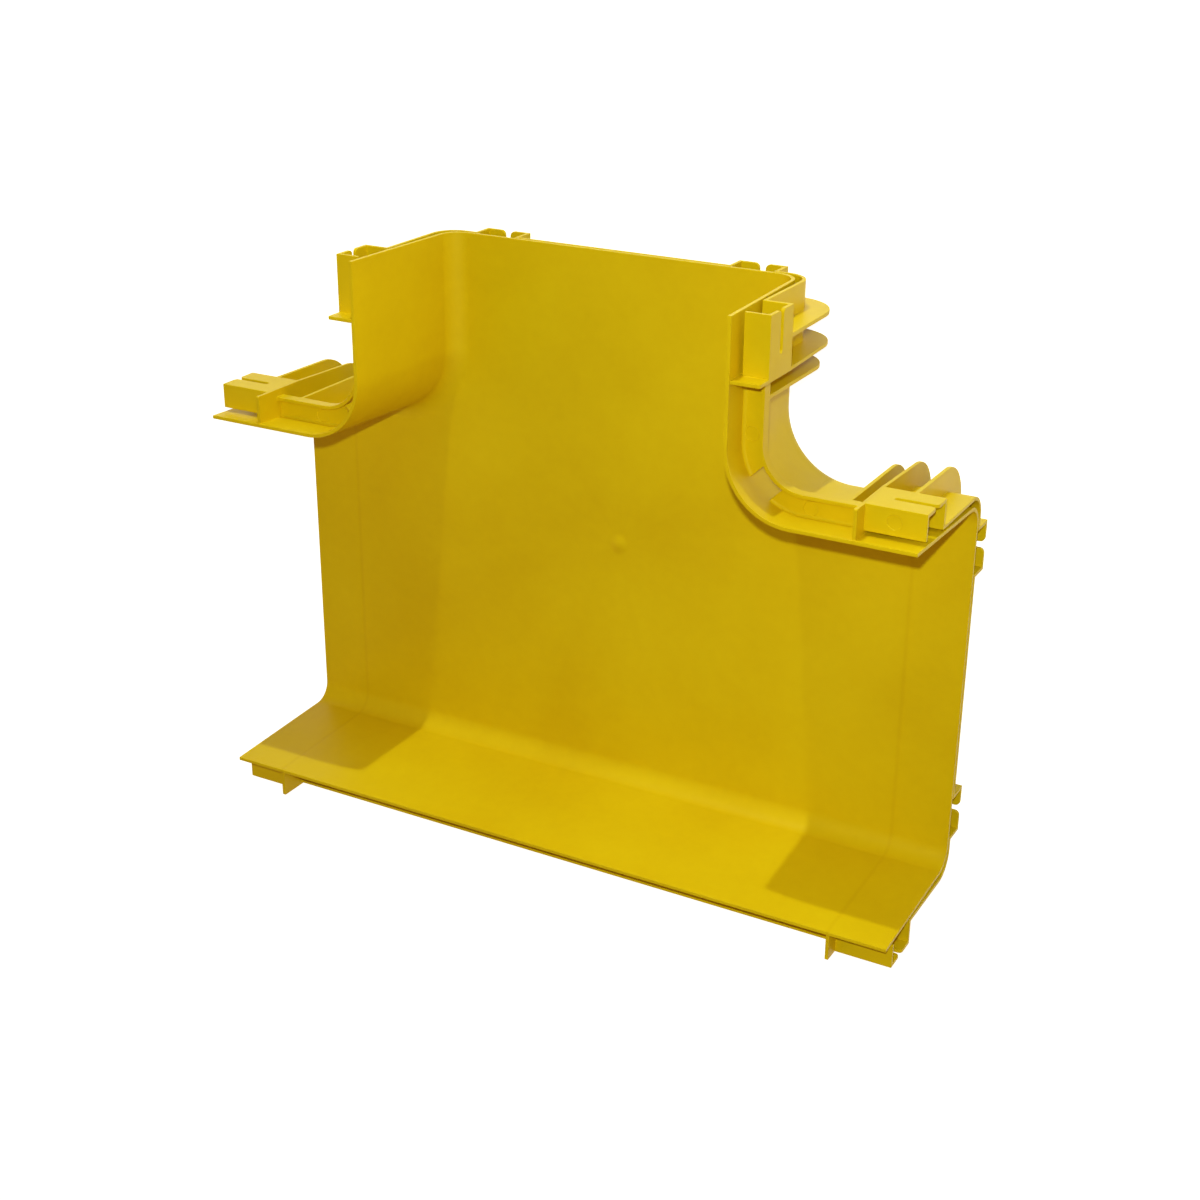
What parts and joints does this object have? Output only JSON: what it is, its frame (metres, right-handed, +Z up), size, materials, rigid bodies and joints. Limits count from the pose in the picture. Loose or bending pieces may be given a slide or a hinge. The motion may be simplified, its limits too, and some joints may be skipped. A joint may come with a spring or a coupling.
{
  "type": "fibre raceway tee",
  "caption": "Horizontal tee for an open-top fibre raceway, moulded in one piece, with leaning walls, swept inner corners and a sleeve with slotted pockets at each open end.",
  "frame": {"origin": "on the floor plane under the middle of the outline, at the underside of the feet", "axes": "+X along the run, +Y out of the branch, +Z up out of the open channel"},
  "size_m": [0.466, 0.3728, 0.1196],
  "materials": {
    "yellow_plastic": "satin moulded yellow, with faint flow marks"
  },
  "bodies": {
    "root": {"raceway_tee": "yellow_plastic"}
  },
  "joints": []
}
